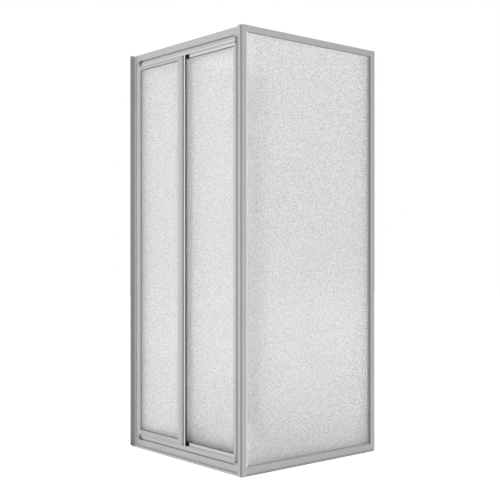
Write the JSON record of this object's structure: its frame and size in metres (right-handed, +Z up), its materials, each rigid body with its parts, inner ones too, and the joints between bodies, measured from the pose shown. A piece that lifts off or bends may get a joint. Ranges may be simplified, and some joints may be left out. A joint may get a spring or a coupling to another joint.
{
  "type": "three-sided shower enclosure",
  "caption": "Three-sided shower enclosure with silver frames: a sliding door of two stippled leaves between two fixed stippled side panels.",
  "frame": {"origin": "middle of the enclosure's footprint at the underside of its sills", "axes": "+Z up, -Y out through the sliding door, +X out through the side panel on the door's closing side"},
  "size_m": [0.8372, 0.813, 1.85],
  "materials": {
    "aluminium": "satin silver anodised",
    "acrylic": "milky acrylic with a fine stipple",
    "gasket_plastic": "soft, satin",
    "black_plastic": "moulded",
    "grey_plastic": "moulded, silver grey",
    "seal_plastic": "soft",
    "rubber": "matt",
    "steel": "plain stainless",
    "nylon": "moulded"
  },
  "bodies": {
    "frame": {"back_track_stop": "rubber", "bottom_left_connector": "grey_plastic", "bottom_right_connector": "grey_plastic", "closing_jamb": "aluminium", "door_bottom_rail": "aluminium", "door_end_channel": "aluminium", "door_end_jamb": "aluminium", "door_sill_strip": "aluminium", "door_top_rail": "aluminium", "flange_plug": "black_plastic", "front_track_stop": "rubber", "jamb_magnetic_strip": "seal_plastic", "jamb_screw_high": "steel", "jamb_screw_low": "steel", "left_corner_post": "aluminium", "left_post_cap": "grey_plastic", "left_side_bottom_rail": "aluminium", "left_side_gasket": "gasket_plastic", "left_side_pane": "acrylic", "left_side_sill_strip": "aluminium", "left_side_top_rail": "aluminium", "left_side_wall_channel": "aluminium", "left_side_wall_stile": "aluminium", "right_corner_post": "aluminium", "right_post_cap": "grey_plastic", "right_side_bottom_rail": "aluminium", "right_side_gasket": "gasket_plastic", "right_side_pane": "acrylic", "right_side_sill_strip": "aluminium", "right_side_top_rail": "aluminium", "right_side_wall_channel": "aluminium", "right_side_wall_stile": "aluminium", "top_left_connector": "grey_plastic", "top_right_connector": "grey_plastic"},
    "outer_leaf": {"outer_leaf_bottom_rail": "aluminium", "outer_leaf_gasket": "gasket_plastic", "outer_leaf_grip_stile": "aluminium", "outer_leaf_left_guide": "black_plastic", "outer_leaf_left_hanger": "black_plastic", "outer_leaf_left_stile": "aluminium", "outer_leaf_pane": "acrylic", "outer_leaf_right_guide": "black_plastic", "outer_leaf_right_hanger": "black_plastic", "outer_leaf_top_rail": "aluminium", "overlap_seal": "seal_plastic"},
    "inner_leaf": {"inner_leaf_bottom_rail": "aluminium", "inner_leaf_closing_stile": "aluminium", "inner_leaf_gasket": "gasket_plastic", "inner_leaf_left_guide": "black_plastic", "inner_leaf_left_hanger": "black_plastic", "inner_leaf_left_stile": "aluminium", "inner_leaf_pane": "acrylic", "inner_leaf_right_guide": "black_plastic", "inner_leaf_right_hanger": "black_plastic", "inner_leaf_top_rail": "aluminium", "leaf_magnetic_strip": "seal_plastic"},
    "inner_leaf_left_roller_wheel": {"inner_leaf_left_roller": "nylon"},
    "inner_leaf_right_roller_wheel": {"inner_leaf_right_roller": "nylon"},
    "outer_leaf_left_roller_wheel": {"outer_leaf_left_roller": "nylon"},
    "outer_leaf_right_roller_wheel": {"outer_leaf_right_roller": "nylon"}
  },
  "joints": [
    {"name": "outer_leaf_slide", "type": "slide", "parent": "frame", "child": "outer_leaf", "axis": [1, 0, 0], "range_m": [0, 0.3312]},
    {"name": "inner_leaf_slide", "type": "slide", "parent": "frame", "child": "inner_leaf", "axis": [-1, 0, 0], "range_m": [0, 0.3312]},
    {"name": "inner_leaf_left_roller_spin", "type": "hinge", "parent": "inner_leaf", "child": "inner_leaf_left_roller_wheel", "pos_m": [0.02485, -0.3543, 1.8227], "axis": [0, -1, 0], "range_deg": [0, 2316]},
    {"name": "inner_leaf_right_roller_spin", "type": "hinge", "parent": "inner_leaf", "child": "inner_leaf_right_roller_wheel", "pos_m": [0.2862, -0.3543, 1.8227], "axis": [0, -1, 0], "range_deg": [0, 2316]},
    {"name": "outer_leaf_left_roller_spin", "type": "hinge", "parent": "outer_leaf", "child": "outer_leaf_left_roller_wheel", "pos_m": [-0.3118, -0.3715, 1.8227], "axis": [0, 1, 0], "range_deg": [0, 2316]},
    {"name": "outer_leaf_right_roller_spin", "type": "hinge", "parent": "outer_leaf", "child": "outer_leaf_right_roller_wheel", "pos_m": [-0.08525, -0.3715, 1.8227], "axis": [0, 1, 0], "range_deg": [0, 2316]}
  ],
  "couplings": [
    {"joint": "inner_leaf_left_roller_spin", "follows": "inner_leaf_slide", "rad_per_m": 121.95},
    {"joint": "inner_leaf_right_roller_spin", "follows": "inner_leaf_slide", "rad_per_m": 121.95},
    {"joint": "outer_leaf_left_roller_spin", "follows": "outer_leaf_slide", "rad_per_m": 121.95},
    {"joint": "outer_leaf_right_roller_spin", "follows": "outer_leaf_slide", "rad_per_m": 121.95}
  ]
}
